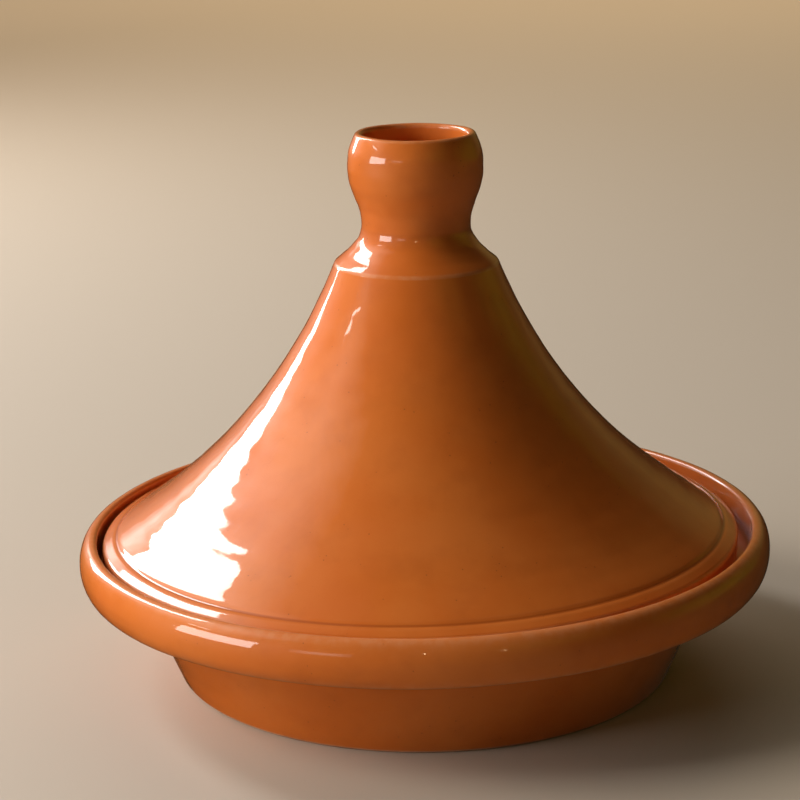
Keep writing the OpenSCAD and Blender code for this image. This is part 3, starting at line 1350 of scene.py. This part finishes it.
@dataclass(frozen=True)
class Studio:
    """Pale floor, dim warm air, soft lights and the camera.

    Attributes:
        floor_size: Side of the floor.
        floor_colour: Colour of the floor near the camera.
        painted_glow_colour: Paler, warmer colour of the floor well behind the pot: painted light that
            stands in for a lit warm backdrop.
        far_from: Distance behind the pot where the floor starts to change colour.
        far_full: Distance behind the pot where it has changed.
        floor_rough: Roughness of the floor.
        air: Colour of the air.
        air_strength: Brightness of the air.
        camera_back: Distance of the camera from the pot's axis, along -Y.
        camera_up: Height of the camera.
        camera_yaw: Turn of the camera to the left, in degrees.
        camera_pitch: How far the camera looks down, in degrees.
        camera_roll: Roll of the camera, in degrees.
        camera_lens: Focal length in millimetres.
        sensor: Width of the camera's sensor in millimetres.
    """

    floor_size: float = 12.0
    floor_colour: Colour = (0.52, 0.465, 0.395)
    painted_glow_colour: Colour = (0.90, 0.74, 0.54)
    far_from: float = 0.2
    far_full: float = 3.4
    floor_rough: float = 0.5
    air: Colour = (0.90, 0.62, 0.30)
    air_strength: float = 0.020
    camera_back: float = 0.9711
    camera_up: float = 0.3851
    camera_yaw: float = 0.57
    camera_pitch: float = 15.417
    camera_roll: float = -0.80
    camera_lens: float = 104.9
    sensor: float = 36.0

    def floor(self) -> bpy.types.Object:
        """A pale floor under the foot: one large square at height zero, painted paler and warmer towards
        the back as a stand-in for a lit backdrop.

        Returns:
            The floor, on the stage.
        """
        half = self.floor_size / 2.0
        corners = [(-half, -half, 0.0), (half, -half, 0.0), (half, half, 0.0), (-half, half, 0.0)]
        mesh = bpy.data.meshes.new("floor")
        mesh.from_pydata(corners, [], [(0, 1, 2, 3)])
        floor = bpy.data.objects.new("floor", mesh)
        bpy.context.scene.collection.objects.link(floor)
        sheet = NodeSheet("pale_floor")
        split = sheet.node("ShaderNodeSeparateXYZ")
        sheet.join(sheet.place, split.inputs[0])
        # Painted light: the floor's colour brightens with distance behind the pot, standing in for a lit
        # warm backdrop.
        far = sheet.ramp(split.outputs["Y"], self.far_from, self.far_full)
        sheet.join(sheet.blend(far, self.floor_colour, self.painted_glow_colour), sheet.shader.inputs["Base Color"])
        sheet.shader.inputs["Roughness"].default_value = self.floor_rough
        floor.visible_glossy = False
        mesh.materials.append(sheet.material)
        floor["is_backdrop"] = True
        return floor

    def world(self) -> None:
        """A dim warm air, the same from every side."""
        world = bpy.data.worlds.new("studio_air")
        world.use_nodes = True
        background = world.node_tree.nodes["Background"]
        background.inputs["Color"].default_value = (*self.air, 1.0)
        background.inputs["Strength"].default_value = self.air_strength
        bpy.context.scene.world = world

    def lights(self, target: Vector) -> None:
        """Windows at the left, dim walls that the glaze mirrors at the right, and two small lamps.

        Args:
            target: Middle of the pot.
        """
        daylight = (1.0, 0.95, 0.90)
        lamp = (1.0, 0.72, 0.40)
        boxes = [
            SoftBox("side_window", azimuth=-112.0, elevation=9.5, distance=2.0,
                    width=1.02, height=0.62, power=16.5, colour=daylight),
            SoftBox("upper_pane", azimuth=-99.0, elevation=27.5, distance=2.0,
                    width=0.3, height=0.05, power=0.5, colour=daylight),
            SoftBox("front_window", azimuth=-148.0, elevation=12.0, distance=2.0,
                    width=0.7, height=0.3, power=0.7, colour=(1.0, 0.88, 0.80), layers=3),
            SoftBox("high_window", azimuth=-102.0, elevation=32.0, distance=2.1,
                    width=1.0, height=0.9, power=30.0, colour=(1.0, 0.92, 0.83), mirrored=False),
            SoftBox("left_haze", azimuth=-84.0, elevation=43.0, distance=2.3,
                    width=2.4, height=1.6, power=8.0, colour=(1.0, 0.84, 0.74), layers=6),
            SoftBox("back_window", azimuth=-49.4, elevation=28.5, distance=1.7,
                    width=0.34, height=1.4, power=21.0, colour=(1.0, 0.98, 0.97), lean=-21.0),
            SoftBox("hazy_window", azimuth=-32.0, elevation=13.0, distance=2.2,
                    width=0.3, height=0.62, power=0.9, colour=(1.0, 0.72, 0.70), lean=-20.0, layers=3),
            SoftBox("olive_wall", azimuth=76.0, elevation=11.0, distance=2.5,
                    width=3.0, height=1.5, power=1.8, colour=(0.52, 0.58, 0.02), layers=6),
            SoftBox("olive_corner", azimuth=140.0, elevation=24.0, distance=2.5,
                    width=1.9, height=1.5, power=0.8, colour=(0.52, 0.54, 0.02), layers=6),
            SoftBox("far_wall", azimuth=20.0, elevation=12.0, distance=3.2,
                    width=3.6, height=1.6, power=1.5, colour=(0.92, 0.64, 0.16), layers=6),
            SoftBox("left_lamp", azimuth=-179.0, elevation=21.0, distance=2.2,
                    width=0.035, height=0.035, power=0.4, colour=lamp),
            SoftBox("right_lamp", azimuth=157.0, elevation=17.0, distance=2.2,
                    width=0.035, height=0.035, power=0.4, colour=lamp),
            SoftBox("backdrop", azimuth=0.0, elevation=80.0, distance=2.4,
                    width=3.4, height=1.8, power=52.0, colour=(1.0, 0.84, 0.66),
                    mirrored=False, aim=(0.0, 2.9, 0.0)),
        ]
        for box in boxes:
            box.place(target)

    def camera(self) -> None:
        """The camera: set back along -Y and up, then turned, pitched down and rolled."""
        data = bpy.data.cameras.new("camera")
        data.lens = self.camera_lens
        data.sensor_width = self.sensor
        camera = bpy.data.objects.new("camera", data)
        camera.location = (0.0, -self.camera_back, self.camera_up)
        look = Euler((math.radians(90.0 - self.camera_pitch), 0.0, math.radians(self.camera_yaw)))
        roll = Euler((0.0, 0.0, math.radians(self.camera_roll)))
        camera.rotation_euler = (look.to_matrix() @ roll.to_matrix()).to_euler()
        bpy.context.scene.collection.objects.link(camera)
        bpy.context.scene.camera = camera

    def build(self, target: Vector) -> None:
        """Builds the whole studio round the pot.

        Args:
            target: Middle of the pot.
        """
        self.floor()
        self.world()
        self.lights(target)
        self.camera()
        bpy.context.scene.view_settings.view_transform = "Standard"


# ---------------------------------------------------------------------------------------------
# The whole pot
# ---------------------------------------------------------------------------------------------


def main() -> None:
    """Builds the studio and the pot's pieces in order."""
    logging.basicConfig(level=logging.INFO, format="%(name)s: %(message)s")
    cad_low, cad_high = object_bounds()
    Studio().build((cad_low + cad_high) / 2.0)
    sag = KilnSag()
    bare = BareClay("bare_clay").material()
    rest = (-1.8 * MM, 0.2 * MM, 0.0)
    flank = Flank("lid_flank", Part.FLANK, "lid", "lid_glaze", sag, ThrowingMarks(seed=11),
                  ClearGlazeOverClay("lid_glaze"), rest)
    pieces: list[ClayPiece] = [
        Dish("dish_body", Part.DISH, "dish", "dish_glaze", sag, ThrowingMarks(seed=5),
             ClearGlazeOverClay("dish_glaze")),
        flank,
        Knob("knob_cup", Part.KNOB, "lid", "knob_glaze", sag,
             ThrowingMarks(ring_height=0.07 * MM, ring_pitch=7.0 * MM, lump_height=0.12 * MM, seed=23),
             ClearGlazeOverClay("knob_glaze"), rest, flank=flank),
    ]
    for piece in pieces:
        made = piece.make(bare)
        log.info("%s: %d faces, rides on %s", made.name, len(made.data.polygons), piece.body)


if __name__ == "__main__":
    main()
